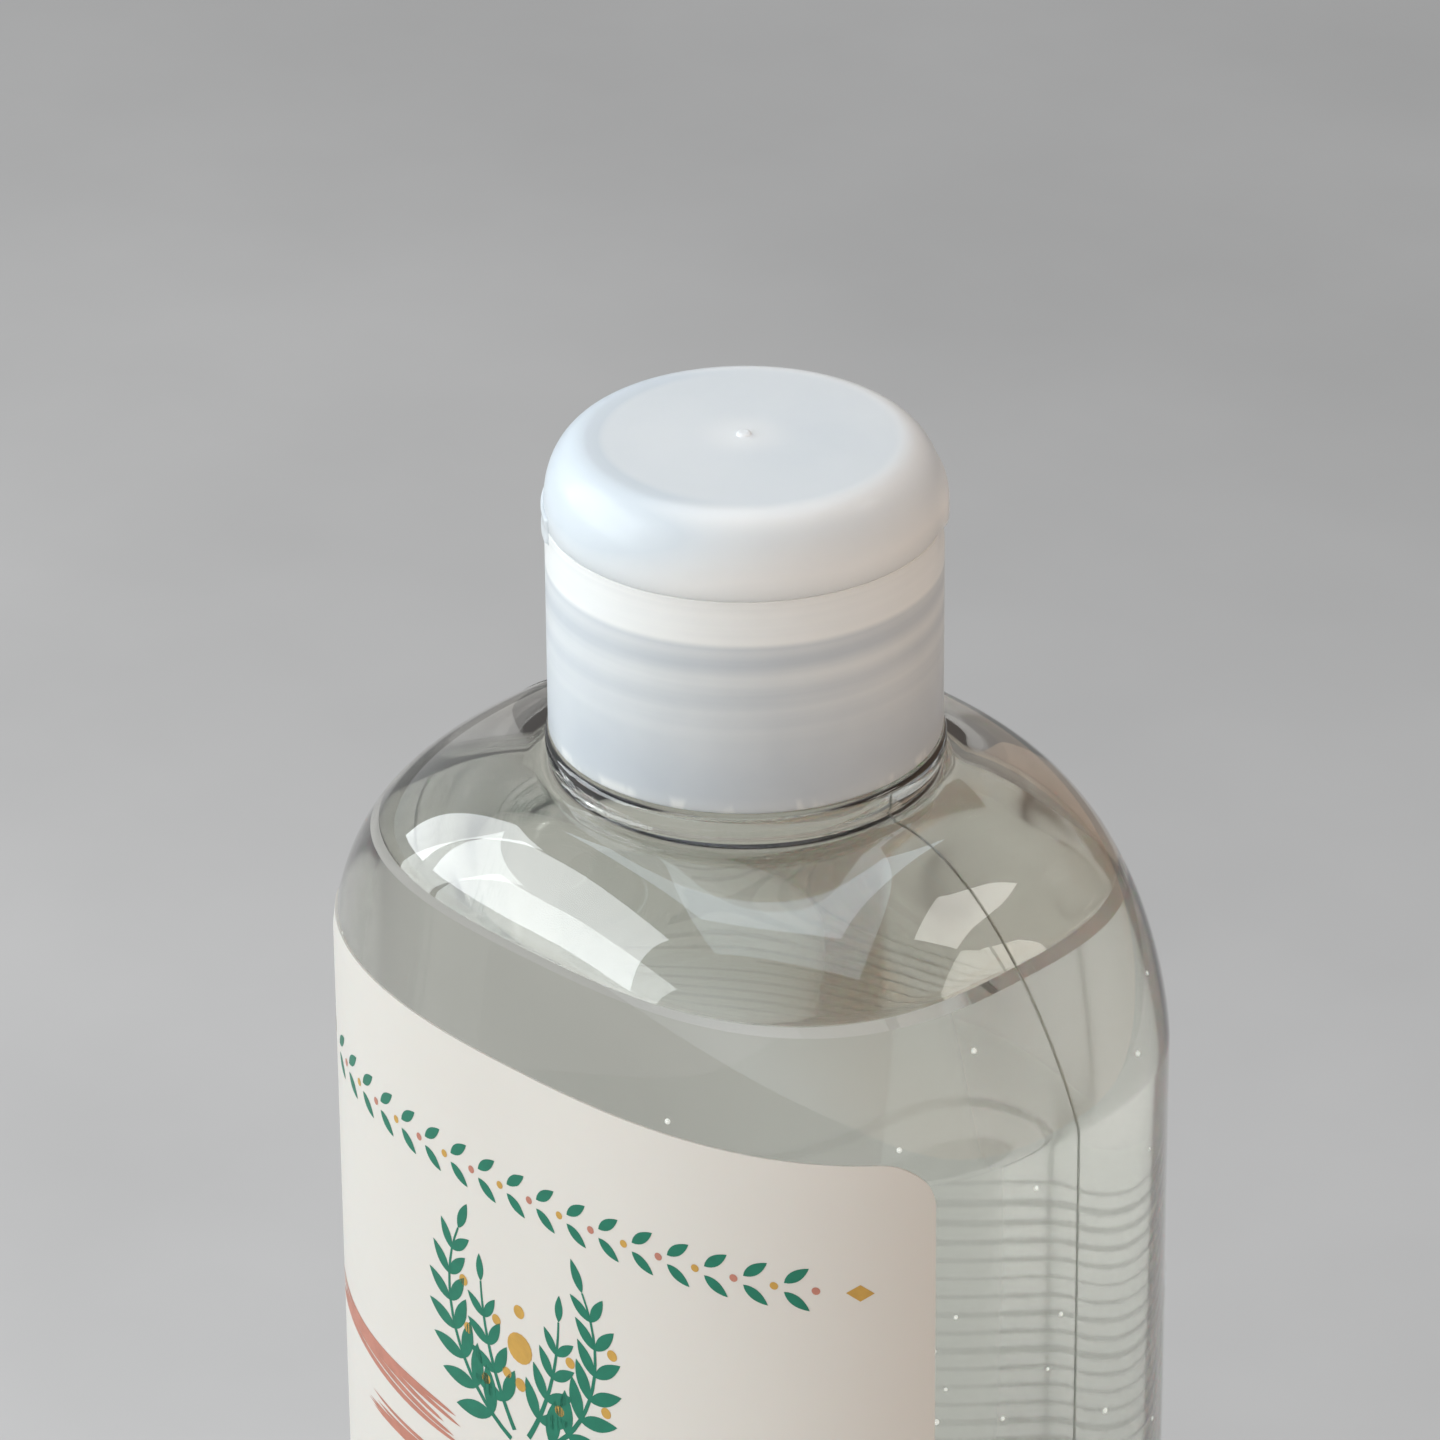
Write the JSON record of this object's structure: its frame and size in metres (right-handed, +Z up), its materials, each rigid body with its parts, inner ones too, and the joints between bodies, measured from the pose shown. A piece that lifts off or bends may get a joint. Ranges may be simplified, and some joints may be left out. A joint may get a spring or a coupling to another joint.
{
  "type": "micellar water bottle",
  "caption": "Clear oval bottle with a round neck, filled with micellar water, closed by a screw-on white flip-top closure, with a cream front label and a clear back label.",
  "frame": {"origin": "middle of the base, on the surface the bottle stands on", "axes": "+Z up along the neck's axis, X along the wide side of the oval, the front label faces -Y"},
  "size_m": [0.0718, 0.0516, 0.1743],
  "materials": {
    "clear_pet": "clear, glossy, blow moulded",
    "liquid": null,
    "white_polypropylene": "translucent bluish white, satin",
    "cream_film": "opaque printed film, satin",
    "clear_film": "clear film with printed lines"
  },
  "bodies": {
    "bottle": {"bottle": "clear_pet", "micellar_water": "liquid", "front_label": "cream_film", "back_label": "clear_film"},
    "closure": {"cap_base": "white_polypropylene", "living_hinge": "white_polypropylene"},
    "lid": {"flip_lid": "white_polypropylene"}
  },
  "joints": [
    {"name": "cap_turn", "type": "hinge", "parent": "bottle", "child": "closure", "pos_m": [0, 0, 0.1491], "axis": [0, 0, 1], "range_deg": [0, 540]},
    {"name": "lid_hinge", "type": "hinge", "parent": "closure", "child": "lid", "pos_m": [-0.011, -0.011, 0.1674], "axis": [0.7071, -0.7071, 0], "range_deg": [0, 135]}
  ]
}
